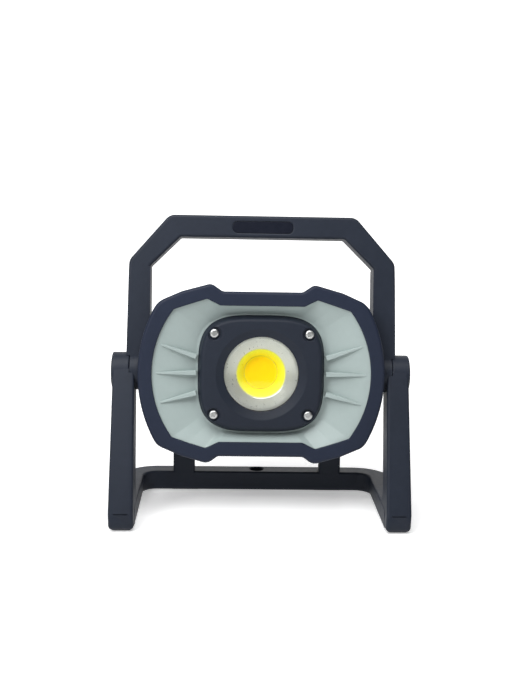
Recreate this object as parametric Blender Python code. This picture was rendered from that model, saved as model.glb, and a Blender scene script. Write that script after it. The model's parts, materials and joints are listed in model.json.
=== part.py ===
"""Rechargeable LED work light on a tilting stand, one object per piece, at rest.

Three bodies turn about one horizontal pivot axis: the stand on the floor, the carrying handle, and the lamp head
between the handle's legs. Sizes below are in millimetres; meshes and places are turned into metres as they are made.
The lamp faces -Y, +Z is up, and the origin is on the floor in the middle of the stand.
"""

import math

import bmesh
import bpy
from mathutils import Vector

MM = 0.001
GAP = 0.3  # clearance between neighbouring pieces

# Stand
STAND_WIDTH = 220.0
STAND_DEPTH = 111.3
STAND_FRONT = -STAND_DEPTH / 2
STAND_REAR = STAND_DEPTH / 2
STAND_LIFT = 0.5  # the frame's underside stands this high on its pads
RAIL_HEIGHT = 16.4
RAIL_INNER = 91.4  # half width between the rails
CROSSBAR_DEPTH = 16.0
CREASE_HEIGHT = 14.5  # where the upright foot face meets the leaning arm
FOOT_SETBACK = 1.5
ARM_LEAN = math.radians(21.9)
ARM_LENGTH = 107.1  # along the arm's front face, from the crease to level with the pivot
ARM_DEPTH = 21.0
ARM_INNER = 93.9
EYE_RADIUS = 14.2
EYE_INNER = 98.0  # the arm's eye starts here, outside the handle's eye
EYE_OUTER = 111.2
RELIEF_RADIUS = 14.7  # what turns near the pivot has this much room
POST_CENTRE = 59.2
POST_WIDTH = 17.3
POST_DEPTH = 10.0
POST_TOP = 42.0
HANG_HOLE_RADIUS = 5.5

# Pivot axis, from the arm's geometry
PIVOT_Y = STAND_FRONT + ARM_LENGTH * math.sin(ARM_LEAN) + EYE_RADIUS * math.cos(ARM_LEAN)
PIVOT_Z = CREASE_HEIGHT + ARM_LENGTH * math.cos(ARM_LEAN) - EYE_RADIUS * math.sin(ARM_LEAN)
BOLT_RADIUS = 3.0
BOLT_HOLE_RADIUS = 3.4

# Handle, measured in its own plane from the pivot
HANDLE_TILT = math.radians(10.5)
HANDLE_INNER = 83.2
HANDLE_OUTER = 100.6
HANDLE_DEPTH = 18.0
HANDLE_TOP = 117.0
HANDLE_EYE_OUTER = EYE_INNER - 0.4
LABEL_WIDTH = 45.4
LABEL_HEIGHT = 9.3
LABEL_CENTRE = 108.4

# Lamp head, measured from the pivot with the face towards -Y
HEAD_TILT = math.radians(6.0)
BEZEL_FRONT = -21.0
BEZEL_EDGE_REAR = -17.6
BEZEL_REAR = -14.9
BEZEL_LIP = 2.0
PANEL_FRONT = BEZEL_FRONT + BEZEL_LIP + GAP
PANEL_THICKNESS = 2.0
PANEL_FLOOR = -9.0
PANEL_HOLE_RADIUS = 31.5
RIM_OFFSET = 1.6  # the panel and the housing reach this far under the bezel's lip
HOUSING_FRONT = -14.9
HOUSING_WALL = 2.4
HOUSING_REAR = 31.5
HOUSING_FLOOR = 29.0
RIB_REAR = 33.1
PIVOT_BOSS_FACE = 82.7

# Light module
MODULE_HALF = (47.2, 43.7)
MODULE_POWER = 3.5
MODULE_POINTS = 44
MODULE_FACE = -18.0
MODULE_REAR = PANEL_FLOOR - GAP
CONE_RADIUS = 33.5
LENS_OPENING = 27.9
LENS_RADIUS = 29.5
EMITTER_RADIUS = 11.8
MODULE_SCREW = (35.1, 30.2)

# Power pack and controls
CELL_RADIUS = 9.2
CELL_LENGTH = 65.0
CELL_CENTRES = (42.8, 61.7)
CELL_Y = 19.2
REAR_SCREW = (56.0, 40.5)
BUTTON_HEIGHT = 30.0
BUTTON_RADIUS = 7.5
PORT_HEIGHT = -30.0


# ---------------------------------------------------------------- outlines


def rounded(corners, steps=2):
    """Closed outline through corners (u, v, radius), each corner turned into an arc of its own radius."""
    points = []
    for i, (u, v, radius) in enumerate(corners):
        here = Vector((u, v))
        if radius == 0:
            points.append((u, v))
            continue
        before = (Vector(corners[i - 1][:2]) - here).normalized()
        after = (Vector(corners[(i + 1) % len(corners)][:2]) - here).normalized()
        half = before.angle(after) / 2
        centre = here + (before + after).normalized() * radius / math.sin(half)
        start = here + before * radius / math.tan(half) - centre
        end = here + after * radius / math.tan(half) - centre
        first = math.atan2(start.y, start.x)
        sweep = (math.atan2(end.y, end.x) - first + math.pi) % math.tau - math.pi
        for k in range(steps + 1):
            angle = first + sweep * k / steps
            points.append((centre.x + radius * math.cos(angle), centre.y + radius * math.sin(angle)))
    return points


def rectangle(u0, u1, v0, v1, radius=0.0, steps=2):
    return rounded([(u0, v0, radius), (u1, v0, radius), (u1, v1, radius), (u0, v1, radius)], steps)


def circle(radius, count, centre=(0.0, 0.0)):
    angles = [math.tau * k / count for k in range(count)]
    return [(centre[0] + radius * math.cos(a), centre[1] + radius * math.sin(a)) for a in angles]


def offset(outline, distance):
    """The outline moved outwards by distance, or inwards when it is negative."""
    count = len(outline)
    area = sum(
        outline[i - 1][0] * outline[i][1] - outline[i][0] * outline[i - 1][1] for i in range(count)
    )
    side = distance * math.copysign(1.0, area)
    moved = []
    for i, point in enumerate(outline):
        here = Vector(point)
        before = (here - Vector(outline[i - 1])).normalized()
        after = (Vector(outline[(i + 1) % count]) - here).normalized()
        normal = Vector((before.y, -before.x)) + Vector((after.y, -after.x))
        moved.append(tuple(here + normal * side / (1 + before.dot(after))))
    return moved


def oval(half, power, angles):
    """Superellipse with the half sizes given, at the polar angles given."""
    points = []
    for a in angles:
        reach = abs(math.cos(a) / half[0]) ** power + abs(math.sin(a) / half[1]) ** power
        reach **= -1 / power
        points.append((reach * math.cos(a), reach * math.sin(a)))
    return points


def face_outline(upper, lower, arc_centre, arc_radius, arc_steps=5):
    """The lamp face's outline from its right half: the upper corners, the side's arc, then the lower corners."""
    right = list(upper)
    first = math.atan2(upper[-1][1], upper[-1][0] - arc_centre)
    last = math.atan2(lower[0][1], lower[0][0] - arc_centre)
    for k in range(1, 2 * arc_steps):
        angle = first + (last - first) * k / (2 * arc_steps)
        right.append((arc_centre + arc_radius * math.cos(angle), arc_radius * math.sin(angle), 0.0))
    right += lower
    left = [(-u, v, radius) for u, v, radius in reversed(right)]
    return rounded(right + left)


BEZEL_OUTLINE = face_outline(
    [
        (9.0, 61.2, 0.0),
        (19.0, 61.2, 0.0),
        (29.3, 61.2, 5.0),
        (37.6, 66.9, 6.0),
        (59.0, 61.0, 20.0),
        (76.7, 53.2, 16.0),
    ],
    [
        (76.7, -53.2, 12.0),
        (59.0, -60.8, 20.0),
        (39.0, -66.5, 8.0),
        (31.6, -60.9, 5.0),
        (19.0, -60.9, 0.0),
        (9.0, -60.9, 0.0),
    ],
    -13.8,
    105.0,
)
BEZEL_OPENING = face_outline(
    [
        (9.0, 50.8, 0.0),
        (19.0, 50.8, 0.0),
        (31.0, 50.8, 4.0),
        (40.5, 55.6, 2.5),
        (53.0, 51.6, 20.0),
        (65.0, 47.6, 3.0),
    ],
    [
        (65.7, -46.7, 2.5),
        (53.5, -50.9, 20.0),
        (40.7, -54.8, 3.5),
        (31.2, -50.1, 4.0),
        (19.0, -50.1, 0.0),
        (9.0, -50.1, 0.0),
    ],
    1.6,
    79.2,
)
RIM_OUTLINE = offset(BEZEL_OPENING, RIM_OFFSET)
RIM_ANGLES = [math.atan2(v, u) for u, v in RIM_OUTLINE]


# ---------------------------------------------------------------- meshes


def place(outline, axis, level):
    """Turns outline points (u, v) into space: across X they are (y, z), across Y (x, z), across Z (x, y)."""
    if axis == "X":
        return [(level, u, v) for u, v in outline]
    if axis == "Y":
        return [(u, level, v) for u, v in outline]
    return [(u, v, level) for u, v in outline]


def skin(loops, ring=False):
    """Solid over matching loops of points: capped at both ends, or closed on itself as a ring."""
    mesh = bmesh.new()
    rows = [[mesh.verts.new(point) for point in loop] for loop in loops]
    pairs = list(zip(rows, rows[1:]))
    if ring:
        pairs.append((rows[-1], rows[0]))
    else:
        mesh.faces.new(rows[0])
        mesh.faces.new(rows[-1])
    for low, high in pairs:
        for i in range(len(low)):
            mesh.faces.new((low[i - 1], low[i], high[i], high[i - 1]))
    bmesh.ops.recalc_face_normals(mesh, faces=mesh.faces)
    return mesh


def prism(outline, axis, start, end):
    return skin([place(outline, axis, start), place(outline, axis, end)])


def box(x, y, z):
    return prism([(x[0], y[0]), (x[1], y[0]), (x[1], y[1]), (x[0], y[1])], "Z", z[0], z[1])


def turned(profile, axis, count, centre=(0.0, 0.0), ring=False):
    """Turned solid: the profile is (level, radius) along the axis."""
    return skin([place(circle(radius, count, centre), axis, level) for level, radius in profile], ring)


def drum(axis, start, end, radius, count=24, centre=(0.0, 0.0)):
    return turned([(start, radius), (end, radius)], axis, count, centre)


# ---------------------------------------------------------------- objects


def clear_scene():
    for old in list(bpy.data.objects):
        bpy.data.objects.remove(old)


def material(name, colour, roughness, metallic=0.0, transmission=0.0):
    made = bpy.data.materials.new(name)
    made.use_nodes = True
    shader = made.node_tree.nodes["Principled BSDF"]
    shader.inputs["Base Color"].default_value = (*colour, 1.0)
    shader.inputs["Roughness"].default_value = roughness
    shader.inputs["Metallic"].default_value = metallic
    shader.inputs["Transmission Weight"].default_value = transmission
    return made


def group(name, tilt=0.0):
    """Empty on the pivot axis that carries what turns about it. A positive tilt leans the top back."""
    made = bpy.data.objects.new(name, None)
    bpy.context.scene.collection.objects.link(made)
    made.location = (0.0, PIVOT_Y * MM, PIVOT_Z * MM)
    made.rotation_euler.x = -tilt
    return made


def piece(name, mesh, look=None, parent=None, origin=(0.0, 0.0, 0.0), crease=35.0):
    """Object from a mesh drawn in millimetres. A piece with an origin of its own keeps it at that point."""
    shift = Vector(origin)
    for vert in mesh.verts:
        vert.co = (vert.co - shift) * MM
    data = bpy.data.meshes.new(name)
    mesh.to_mesh(data)
    mesh.free()
    data.shade_smooth()
    data.set_sharp_from_angle(angle=math.radians(crease))
    made = bpy.data.objects.new(name, data)
    bpy.context.scene.collection.objects.link(made)
    made.location = shift * MM
    made.parent = parent
    if look:
        data.materials.append(look)
    return made


def helper(mesh, *others, parent=None):
    """Hidden solid that a Boolean uses. Solids that stay clear of each other may share one."""
    for other in others:
        spare = bpy.data.meshes.new("spare")
        other.to_mesh(spare)
        other.free()
        mesh.from_mesh(spare)
        bpy.data.meshes.remove(spare)
    made = piece("helper", mesh, parent=parent)
    made.hide_render = True
    made.display_type = "WIRE"
    return made


def bevel(target, width, segments=2, angle=40.0):
    modifier = target.modifiers.new("Rounded edges", "BEVEL")
    modifier.width = width * MM
    modifier.segments = segments
    modifier.limit_method = "ANGLE"
    modifier.angle_limit = math.radians(angle)
    return target


def combine(target, other, operation):
    modifier = target.modifiers.new(operation.title(), "BOOLEAN")
    modifier.operation = operation
    modifier.object = other


def add(target, *others):
    for other in others:
        combine(target, other, "UNION")


def cut(target, *others):
    for other in others:
        combine(target, other, "DIFFERENCE")


def sides():
    """Name and sign of the object's left and right, as seen from the front."""
    return (("left", -1), ("right", 1))


def corners():
    """Name and signs of the four corners of the lamp's face."""
    return (
        ("upper_left", -1, 1),
        ("upper_right", 1, 1),
        ("lower_left", -1, -1),
        ("lower_right", 1, -1),
    )


# ---------------------------------------------------------------- stand


def arm_profile():
    """Side view (y, z) of one arm with its foot, up to level with the pivot."""
    up = Vector((math.sin(ARM_LEAN), math.cos(ARM_LEAN)))
    back = Vector((math.cos(ARM_LEAN), -math.sin(ARM_LEAN)))
    crease = Vector((STAND_FRONT, CREASE_HEIGHT))
    front_top = crease + up * ARM_LENGTH
    rear_top = front_top + back * ARM_DEPTH
    rear_foot = rear_top - up * (rear_top.y - RAIL_HEIGHT) / up.y
    heel = rear_foot.x + 14.0
    return rounded(
        [
            (STAND_FRONT + FOOT_SETBACK, STAND_LIFT, 0.0),
            (crease.x, crease.y, 0.0),
            (front_top.x, front_top.y, 0.0),
            (rear_top.x, rear_top.y, 0.0),
            (rear_foot.x, rear_foot.y, 8.0),
            (heel, RAIL_HEIGHT, 0.0),
            (heel, STAND_LIFT, 0.0),
        ]
    )


def arm_solid(side):
    """The arm's inner face leans outwards a little towards the top, as a moulding's draft does."""
    loops = []
    for drafted in (True, False):
        loop = []
        for y, z in arm_profile():
            draft = (ARM_INNER - RAIL_INNER) * min(z / PIVOT_Z, 1.0)
            x = RAIL_INNER + draft if drafted else STAND_WIDTH / 2
            loop.append((side * x, y, z))
        loops.append(loop)
    return skin(loops)


def base_outline():
    """Plan (x, y) of the U that lies on the floor, open to the front."""
    half = STAND_WIDTH / 2
    front = STAND_FRONT + 10.0
    inner_rear = STAND_REAR - CROSSBAR_DEPTH
    return rounded(
        [
            (half, front, 0.0),
            (half, STAND_REAR, 30.0),
            (-half, STAND_REAR, 30.0),
            (-half, front, 0.0),
            (-RAIL_INNER, front, 0.0),
            (-RAIL_INNER, inner_rear, 11.0),
            (RAIL_INNER, inner_rear, 11.0),
            (RAIL_INNER, front, 0.0),
        ],
        steps=4,
    )


def foot_pad_places():
    """Name, centre (x, y) and half sizes of the four pads under the stand."""
    places = []
    for name, side in sides():
        places.append((f"foot_pad_front_{name}", (side * 100.7, STAND_FRONT + 15.0), (5.0, 9.0)))
        places.append((f"foot_pad_rear_{name}", (side * 58.0, STAND_REAR - 8.0), (12.0, 4.5)))
    return places


def pad_outline(centre, half, margin=0.0):
    return rectangle(
        centre[0] - half[0] - margin,
        centre[0] + half[0] + margin,
        centre[1] - half[1] - margin,
        centre[1] + half[1] + margin,
        radius=2.0,
        steps=2,
    )


def stand_frame(look):
    frame = piece("stand_frame", prism(base_outline(), "Z", STAND_LIFT, RAIL_HEIGHT), look)
    bevel(frame, 1.6, 1)
    pivot = (PIVOT_Y, PIVOT_Z)
    for _, side in sides():
        add(frame, bevel(helper(arm_solid(side)), 1.8, 1))
        eye = drum("X", side * EYE_INNER, side * EYE_OUTER, EYE_RADIUS, 32, pivot)
        add(frame, bevel(helper(eye), 0.9, 1))
        post_x = sorted((side * (POST_CENTRE - POST_WIDTH / 2), side * (POST_CENTRE + POST_WIDTH / 2)))
        post_front = STAND_REAR - CROSSBAR_DEPTH
        post = box(post_x, (post_front + 0.1, post_front + POST_DEPTH), (RAIL_HEIGHT - 6.0, POST_TOP))
        add(frame, bevel(helper(post), 1.5, 1))
    pivot_bore = [
        (80.0, RELIEF_RADIUS),
        (EYE_INNER, RELIEF_RADIUS),
        (EYE_INNER, 9.4),
        (EYE_INNER + 1.0, 9.4),
        (EYE_INNER + 1.0, BOLT_HOLE_RADIUS),
        (104.0, BOLT_HOLE_RADIUS),
        (104.0, 5.8),
        (109.4, 5.8),
        (109.4, 12.2),
        (120.0, 12.2),
    ]
    for _, side in sides():
        cut(frame, helper(turned([(side * x, r) for x, r in pivot_bore], "X", 28, pivot)))
    hole_y = STAND_REAR - CROSSBAR_DEPTH / 2 + 0.8
    pockets = [drum("Z", -5.0, 25.0, HANG_HOLE_RADIUS, 20, (0.0, hole_y))]
    for _, centre, half in foot_pad_places():
        pockets.append(prism(pad_outline(centre, half, GAP), "Z", -5.0, 2.0 + GAP))
    cut(frame, helper(*pockets))


def foot_pads(look):
    for name, centre, half in foot_pad_places():
        piece(name, prism(pad_outline(centre, half), "Z", 0.0, 2.0), look)


def pivot_hardware(cap_look, steel_look, washer_look, head):
    """Cap, shoulder bolt and friction washers of each side, all on the pivot axis."""
    pivot = (PIVOT_Y, PIVOT_Z)
    for name, side in sides():
        dome = [(109.7, 11.9), (111.2, 11.9), (111.8, 10.6), (112.0, 8.0)]
        piece(f"pivot_cap_{name}", turned([(side * x, r) for x, r in dome], "X", 24, pivot), cap_look)
        washer = [(97.9, 9.0), (98.7, 9.0), (98.7, 4.0), (97.9, 4.0)]
        piece(
            f"outer_washer_{name}",
            turned([(side * x, r) for x, r in washer], "X", 20, pivot, ring=True),
            washer_look,
        )
        bolt = [
            (71.5, BOLT_RADIUS - 0.5),
            (72.0, BOLT_RADIUS),
            (104.3, BOLT_RADIUS),
            (104.3, 5.0),
            (108.6, 5.0),
            (109.1, 4.5),
            (109.1, 2.6),
            (106.5, 2.6),
        ]
        piece(
            f"pivot_bolt_{name}", turned([(side * x, r) for x, r in bolt], "X", 16), steel_look, head
        )


# ---------------------------------------------------------------- handle


def handle_outline():
    """The bail's front view (x, z), out along one side, over the top and back along the inside."""
    half = [
        (HANDLE_OUTER, 0.0, 0.0),
        (HANDLE_OUTER - 1.2, 82.8, 9.0),
        (69.6, HANDLE_TOP, 9.0),
    ]
    inner = [(61.2, 100.6, 2.5), (HANDLE_INNER, 78.8, 2.5), (HANDLE_INNER, 0.0, 0.0)]
    outer = half + [(-x, z, r) for x, z, r in reversed(half)]
    return rounded(outer + [(-x, z, r) for x, z, r in reversed(inner)] + inner, steps=3)


def handle_frame(look, carrier):
    half_depth = HANDLE_DEPTH / 2
    frame = piece("handle_frame", prism(handle_outline(), "Y", -half_depth, half_depth), look, carrier)
    bevel(frame, 1.8)
    for _, side in sides():
        eye = drum("X", side * HANDLE_INNER, side * (HANDLE_EYE_OUTER + 1.5), EYE_RADIUS - 0.1, 32)
        add(frame, bevel(helper(eye, parent=carrier), 0.8, 1))
    bush_bore = 5.3
    bore = [
        (75.0, bush_bore),
        (HANDLE_EYE_OUTER, bush_bore),
        (HANDLE_EYE_OUTER, RELIEF_RADIUS),
        (115.0, RELIEF_RADIUS),
    ]
    for _, side in sides():
        cut(frame, helper(turned([(side * x, r) for x, r in bore], "X", 28), parent=carrier))
    recess = rectangle(
        -LABEL_WIDTH / 2,
        LABEL_WIDTH / 2,
        LABEL_CENTRE - LABEL_HEIGHT / 2,
        LABEL_CENTRE + LABEL_HEIGHT / 2,
        radius=4.0,
        steps=3,
    )
    cut(frame, helper(prism(recess, "Y", -half_depth - 5.0, -half_depth + 1.2), parent=carrier))


def handle_plate(look, carrier):
    """Blank insert in the recess on the front of the grip."""
    outline = rectangle(
        -LABEL_WIDTH / 2 + GAP,
        LABEL_WIDTH / 2 - GAP,
        LABEL_CENTRE - LABEL_HEIGHT / 2 + GAP,
        LABEL_CENTRE + LABEL_HEIGHT / 2 - GAP,
        radius=3.7,
        steps=3,
    )
    front = -HANDLE_DEPTH / 2
    piece("handle_plate", prism(outline, "Y", front + 0.4, front + 0.9), look, carrier)


def handle_bushes(look, carrier):
    for name, side in sides():
        sleeve = [(83.5, 5.0), (97.3, 5.0), (97.3, BOLT_HOLE_RADIUS), (83.5, BOLT_HOLE_RADIUS)]
        piece(
            f"handle_bush_{name}",
            turned([(side * x, r) for x, r in sleeve], "X", 16, ring=True),
            look,
            carrier,
        )


# ---------------------------------------------------------------- lamp head shells


def front_bezel(look, head):
    """Bumper ring: rounded outer edge, a lip over the panel's rim, and a rear face that slopes to the housing."""
    lip_rear = BEZEL_FRONT + BEZEL_LIP
    rebate = offset(BEZEL_OPENING, RIM_OFFSET + GAP)
    loops = [
        place(BEZEL_OPENING, "Y", BEZEL_FRONT + 0.6),
        place(offset(BEZEL_OPENING, 0.6), "Y", BEZEL_FRONT),
        place(offset(BEZEL_OUTLINE, -1.6), "Y", BEZEL_FRONT),
        place(offset(BEZEL_OUTLINE, -0.4), "Y", BEZEL_FRONT + 0.5),
        place(BEZEL_OUTLINE, "Y", BEZEL_FRONT + 1.6),
        place(BEZEL_OUTLINE, "Y", BEZEL_EDGE_REAR),
        place(offset(rebate, 1.4), "Y", BEZEL_REAR),
        place(rebate, "Y", BEZEL_REAR),
        place(rebate, "Y", lip_rear),
        place(BEZEL_OPENING, "Y", lip_rear),
    ]
    piece("front_bezel", skin(loops, ring=True), look, head)


def rib_solid(side, tip, root_z):
    """Wedge rib that stands highest beside the light module and fades into the panel at its tip."""
    root = Vector((side * 48.1, root_z))
    tip = Vector((side * tip[0], tip[1]))
    across = (tip - root).orthogonal().normalized()
    root_half = 1.8
    tip_half = 0.7
    top = [root + across * root_half, root - across * root_half]
    top += [tip - across * tip_half, tip + across * tip_half]
    crown = [(p.x, level, p.y) for p, level in zip(top, (-14.2, -14.2, -18.2, -18.2))]
    buried = [(p.x, level, p.y) for p, level in zip(top, (-8.2, -8.2, -16.8, -16.8))]
    return skin([crown, buried])


def front_panel(look, head):
    """Dished panel between bezel and module, with a flat floor that the module is screwed to."""
    seat = oval((MODULE_HALF[0] + 1.0, MODULE_HALF[1] + 1.0), MODULE_POWER, RIM_ANGLES)
    hole = oval((PANEL_HOLE_RADIUS, PANEL_HOLE_RADIUS), 2.0, RIM_ANGLES)
    edge = offset(BEZEL_OPENING, -0.2)
    front = [(RIM_OUTLINE, PANEL_FRONT), (edge, PANEL_FRONT), (seat, PANEL_FLOOR), (hole, PANEL_FLOOR)]
    loops = [place(outline, "Y", level) for outline, level in front]
    loops += [place(outline, "Y", level + PANEL_THICKNESS) for outline, level in reversed(front)]
    panel = piece("front_panel", skin(loops, ring=True), look, head, crease=12.0)
    for _, side in sides():
        for tip, root_z in (((74.2, 21.6), 12.3), ((77.8, 0.5), 0.4), ((74.2, -21.4), -14.5)):
            add(panel, helper(rib_solid(side, tip, root_z), parent=head))
    pillars = []
    holes = []
    for _, side, up in corners():
        rear_screw = (side * REAR_SCREW[0], up * REAR_SCREW[1])
        module_screw = (side * MODULE_SCREW[0], up * MODULE_SCREW[1])
        pillars.append(drum("Y", PANEL_FRONT + 5.5, 1.7, 3.4, 12, rear_screw))
        holes.append(drum("Y", -9.5, 10.0, 1.8, 10, rear_screw))
        holes.append(drum("Y", -30.0, 10.0, 1.8, 10, module_screw))
    add(panel, helper(*pillars, parent=head))
    cut(panel, helper(*holes, parent=head))


def panel_seal(look, head):
    outer = offset(RIM_OUTLINE, -0.3)
    inner = offset(RIM_OUTLINE, -1.7)
    front = PANEL_FRONT + PANEL_THICKNESS + GAP
    rear = HOUSING_FRONT - GAP
    loops = [(outer, front), (outer, rear), (inner, rear), (inner, front)]
    piece("panel_seal", skin([place(o, "Y", y) for o, y in loops], ring=True), look, head)


def blended(first, second, share):
    return [(a[0] + (b[0] - a[0]) * share, a[1] + (b[1] - a[1]) * share) for a, b in zip(first, second)]


def rear_housing(look, head):
    """Tub behind the face: it follows the bezel's opening in front and squares off towards the back."""
    back = oval((79.0, 47.0), 6.0, RIM_ANGLES)
    middle = blended(RIM_OUTLINE, back, 0.7)
    outer = [
        (RIM_OUTLINE, HOUSING_FRONT),
        (middle, 12.0),
        (back, 27.0),
        (offset(back, -1.2), 30.3),
        (offset(back, -3.4), HOUSING_REAR),
    ]
    inner = [(RIM_OUTLINE, HOUSING_FRONT), (middle, 12.0), (back, HOUSING_FLOOR)]
    loops = [place(outline, "Y", level) for outline, level in reversed(outer)]
    loops += [place(offset(outline, -HOUSING_WALL), "Y", level) for outline, level in inner]
    housing = piece("rear_housing", skin(loops), look, head, crease=25.0)
    ribs = []
    for _, side in sides():
        boss = drum("X", side * 69.0, side * (PIVOT_BOSS_FACE - 2.0), 7.6, 20)
        flange = drum("X", side * 78.5, side * PIVOT_BOSS_FACE, 12.5, 24)
        add(housing, helper(boss, parent=head), helper(flange, parent=head))
        for k in range(4):
            x = side * (26.0 + 12.0 * k)
            ribs.append(prism(rectangle(x - 1.5, x + 1.5, -30.0, 30.0), "Y", HOUSING_REAR - 1.0, RIB_REAR))
    add(housing, bevel(helper(*ribs, parent=head), 0.7, 1))
    columns = []
    screw_holes = []
    screw_bore = [(-5.0, 1.8), (9.0, 1.8), (9.0, 3.3), (40.0, 3.3)]
    for _, side, up in corners():
        spot = (side * REAR_SCREW[0], up * REAR_SCREW[1])
        columns.append(drum("Y", 2.0, HOUSING_FLOOR + 1.0, 4.1, 12, spot))
        screw_holes.append(turned(screw_bore, "Y", 12, spot))
    add(housing, helper(*columns, parent=head))
    cut(housing, helper(*screw_holes, parent=head))
    pivot_bore = [(60.0, 5.5), (81.8, 5.5), (81.8, 9.4), (90.0, 9.4)]
    for _, side in sides():
        cut(housing, helper(turned([(side * x, r) for x, r in pivot_bore], "X", 20), parent=head))
    button_hole = drum("Y", 20.0, 40.0, BUTTON_RADIUS + 0.4, 24, (0.0, BUTTON_HEIGHT))
    port_hole = rectangle(-5.6, 5.6, PORT_HEIGHT - 2.6, PORT_HEIGHT + 2.6, 2.0)
    window_hole = rectangle(-9.3, 9.3, 12.7, 17.3, 2.0)
    openings = [button_hole, prism(port_hole, "Y", 20.0, 40.0), prism(window_hole, "Y", 20.0, 40.0)]
    cut(housing, helper(*openings, parent=head))


def inner_washers(look, head):
    for name, side in sides():
        washer = [(82.1, 9.0), (82.9, 9.0), (82.9, 4.0), (82.1, 4.0)]
        piece(
            f"inner_washer_{name}",
            turned([(side * x, r) for x, r in washer], "X", 20, ring=True),
            look,
            head,
        )


def pivot_inserts(look, head):
    for name, side in sides():
        sleeve = [(69.3, 5.2), (81.5, 5.2), (81.5, BOLT_HOLE_RADIUS), (69.3, BOLT_HOLE_RADIUS)]
        piece(
            f"pivot_insert_{name}",
            turned([(side * x, r) for x, r in sleeve], "X", 16, ring=True),
            look,
            head,
        )


# ---------------------------------------------------------------- light module


def module_housing(look, head):
    """Dark cover over the optics: sloping walls, a flat face and a cone down to the lens."""
    angles = [math.tau * k / MODULE_POINTS for k in range(MODULE_POINTS)]
    base = oval(MODULE_HALF, MODULE_POWER, angles)
    seat_level = -14.6
    loops = [
        place(base, "Y", MODULE_REAR),
        place(offset(base, -2.4), "Y", MODULE_FACE + 1.6),
        place(offset(base, -3.4), "Y", MODULE_FACE + 0.3),
        place(offset(base, -4.4), "Y", MODULE_FACE),
        place(circle(CONE_RADIUS, MODULE_POINTS), "Y", MODULE_FACE),
        place(circle(LENS_OPENING, MODULE_POINTS), "Y", seat_level - 0.5),
        place(circle(LENS_OPENING, MODULE_POINTS), "Y", seat_level),
        place(circle(LENS_RADIUS + GAP, MODULE_POINTS), "Y", seat_level),
        place(circle(LENS_RADIUS + GAP, MODULE_POINTS), "Y", MODULE_REAR),
    ]
    cover = piece("module_housing", skin(loops, ring=True), look, head, crease=30.0)
    bore = [(-30.0, 4.2), (MODULE_FACE + 2.0, 4.2), (MODULE_FACE + 2.0, 1.8), (0.0, 1.8)]
    holes = []
    for _, side, up in corners():
        holes.append(turned(bore, "Y", 16, (side * MODULE_SCREW[0], up * MODULE_SCREW[1])))
    cut(cover, helper(*holes, parent=head))


def optics(glass, seal, chrome, board, phosphor, pad, head):
    """Lens, its seal, reflector, LED board with its emitter, and the pad behind it, front to back."""
    lens = [(-12.3, LENS_RADIUS), (-14.0, LENS_RADIUS), (-14.3, LENS_RADIUS - 0.5)]
    piece("lens", turned(lens, "Y", 36), glass, head)
    gasket = [(-12.0, LENS_RADIUS), (-11.0, LENS_RADIUS), (-11.0, 27.6), (-12.0, 27.6)]
    piece("lens_gasket", turned(gasket, "Y", 28, ring=True), seal, head)
    throat = EMITTER_RADIUS + 0.8
    inside = [(0.9, throat), (-8.0, 18.3), (-10.6, 26.4)]
    flange = [(-10.6, 29.3), (-9.7, 29.3), (-9.7, 27.3)]
    outside = [(-7.2, 18.9), (0.9, throat + 1.1)]
    piece("reflector", turned(inside + flange + outside, "Y", 28, ring=True), chrome, head)
    emitter = [(1.3, EMITTER_RADIUS), (0.9, EMITTER_RADIUS), (0.7, EMITTER_RADIUS - 0.4)]
    piece("led_emitter", turned(emitter, "Y", 28), phosphor, head)
    piece("led_board", prism(rectangle(-15, 15, -15, 15, 2.0), "Y", 1.6, 3.1), board, head)
    piece("thermal_pad", prism(rectangle(-14, 14, -14, 14, 1.0, 2), "Y", 3.4, 3.9), pad, head)


def screw_mesh(centre, head_front, head_radius, head_height, shank_radius, tip):
    """Pan-head screw along Y with a blind drive recess in its head."""
    recess = head_radius * 0.4
    profile = [
        (head_front + head_height * 0.6, recess),
        (head_front, recess),
        (head_front, head_radius * 0.72),
        (head_front + head_height * 0.35, head_radius),
        (head_front + head_height, head_radius),
        (head_front + head_height, shank_radius),
        (tip, shank_radius),
    ]
    return turned(profile, "Y", 12, centre)


def module_screws(look, head):
    for name, side, up in corners():
        centre = (side * MODULE_SCREW[0], up * MODULE_SCREW[1])
        mesh = screw_mesh(centre, MODULE_FACE + 0.1, 3.2, 1.5, 1.5, 3.6)
        piece(f"module_screw_{name}", mesh, look, head)


def heat_sink(look, head):
    """Finned block behind the LED board, on four pillars that take the module's screws."""
    outline = [(39.0, 4.2), (39.0, 8.2)]
    pitch = 7.6
    for k in range(4, -5, -1):
        x = k * pitch
        outline += [(x + 1.0, 8.2), (x + 1.0, 19.2), (x - 1.0, 19.2), (x - 1.0, 8.2)]
    outline += [(-39.0, 8.2), (-39.0, 4.2)]
    block = piece("heat_sink", prism(outline, "Z", -34.0, 34.0), look, head)
    pillars = []
    holes = []
    for _, side, up in corners():
        screw = (side * MODULE_SCREW[0], up * MODULE_SCREW[1])
        pillars.append(drum("Y", PANEL_FLOOR + PANEL_THICKNESS + GAP, 5.0, 3.6, 14, screw))
        holes.append(drum("Y", -20.0, 30.0, 1.8, 10, screw))
    add(block, helper(*pillars, parent=head))
    cut(block, helper(*holes, parent=head))


# ---------------------------------------------------------------- power pack and controls


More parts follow.
